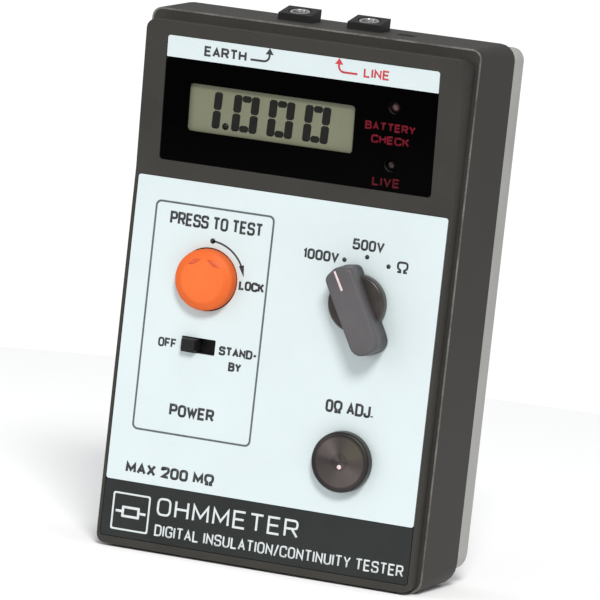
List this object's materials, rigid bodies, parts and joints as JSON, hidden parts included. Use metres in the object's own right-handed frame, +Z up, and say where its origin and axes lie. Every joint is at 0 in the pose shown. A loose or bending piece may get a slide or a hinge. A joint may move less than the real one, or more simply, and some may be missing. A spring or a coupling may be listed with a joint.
{
  "type": "insulation resistance tester",
  "caption": "Hand-held insulation resistance tester with stepped dark case, tilted LCD window, press-to-test button, range selector, power slide switch, zero adjuster and end sockets",
  "frame": {"origin": "Middle of the bottom end, on the surface the instrument stands on", "axes": "+Z up to the terminal end, front panel towards -Y, rear cover towards +Y, +X to the right seen from the front"},
  "size_m": [0.099, 0.0468, 0.1526],
  "materials": {
    "case_dark": "satin moulded texture",
    "cover_grey": "satin moulded texture",
    "panel_white": "printed satin film",
    "plate_dark": "printed satin film",
    "window_black": "gloss acrylic",
    "lcd": "semi gloss",
    "led_red": "diffused lens, unlit",
    "board": "solder resist",
    "button_orange": "semi gloss",
    "cream_plastic": "moulded",
    "knob_grey": "fine moulded texture",
    "knob_brown": "turned face",
    "black_plastic": "moulded",
    "copper_tape": "core and winding",
    "resistor_coat": "gloss coat",
    "fuse_glass": "clear",
    "steel": "plated",
    "brass": "nickel plated",
    "wire_black": "insulation",
    "wire_red": "insulation",
    "cell_jacket": "printed jacket"
  },
  "bodies": {
    "case": {"front_case": "case_dark", "rear_cover": "cover_grey", "case_screw_1": "steel", "case_screw_2": "steel", "case_screw_3": "steel", "case_screw_4": "steel", "front_panel": "panel_white", "name_plate": "plate_dark", "display_window": "window_black", "terminal_label_plate": "panel_white", "lcd_glass": "lcd", "lcd_frame": "black_plastic", "battery_led": "led_red", "live_led": "led_red", "display_board": "board", "test_button_spring": "steel", "test_switch_body": "black_plastic", "selector_switch_body": "black_plastic", "power_switch_body": "steel", "zero_potentiometer": "steel", "main_board": "board", "inverter_transformer": "copper_tape", "hv_capacitor_1": "black_plastic", "hv_capacitor_2": "black_plastic", "converter_chip": "black_plastic", "control_chip": "black_plastic", "range_resistor_1": "resistor_coat", "range_resistor_2": "resistor_coat", "fuse": "fuse_glass", "fuse_holder": "steel", "earth_terminal_block": "black_plastic", "line_terminal_block": "black_plastic", "earth_socket": "brass", "line_socket": "brass", "earth_wire": "wire_black", "line_wire": "wire_red", "strap_pin": "steel", "battery_tray": "black_plastic", "cell_1": "cell_jacket", "cell_2": "cell_jacket", "cell_3": "cell_jacket", "cell_4": "cell_jacket", "cell_5": "cell_jacket", "cell_6": "cell_jacket", "cell_link_lower_1": "steel", "cell_link_lower_2": "steel", "cell_link_lower_3": "steel", "cell_link_upper_1": "steel", "cell_link_upper_2": "steel", "cell_terminal_plus": "steel", "cell_terminal_minus": "steel"},
    "button_plunger": {"test_button_plunger": "cream_plastic"},
    "button_cap": {"test_button_cap": "button_orange"},
    "selector": {"selector_knob": "knob_grey", "selector_shaft": "steel"},
    "power_slide": {"power_slider": "black_plastic"},
    "zero_adjuster": {"zero_knob": "knob_brown", "zero_shaft": "steel"},
    "battery_door": {"battery_cover": "cover_grey", "battery_cover_screw": "steel"}
  },
  "joints": [
    {"name": "test_press", "type": "slide", "parent": "case", "child": "button_plunger", "axis": [0, 1, 0], "range_m": [0, 0.003], "stiffness_N_per_m": 350, "springref_m": -0.003, "deforming": ["test_button_spring"]},
    {"name": "test_lock_turn", "type": "hinge", "parent": "button_plunger", "child": "button_cap", "pos_m": [-0.0218, -0.019, 0.077], "axis": [0, 1, 0], "range_deg": [0, 75]},
    {"name": "range_turn", "type": "hinge", "parent": "case", "child": "selector", "pos_m": [0.0225, -0.021, 0.0768], "axis": [0, 1, 0], "range_deg": [0, 58]},
    {"name": "power_move", "type": "slide", "parent": "case", "child": "power_slide", "axis": [1, 0, 0], "range_m": [0, 0.0046]},
    {"name": "zero_turn", "type": "hinge", "parent": "case", "child": "zero_adjuster", "pos_m": [0.0231, -0.018, 0.0336], "axis": [0, 1, 0], "range_deg": [-140, 140]},
    {"name": "battery_door_lift", "type": "slide", "parent": "case", "child": "battery_door", "axis": [0, 1, 0], "range_m": [0, 0.03]}
  ]
}
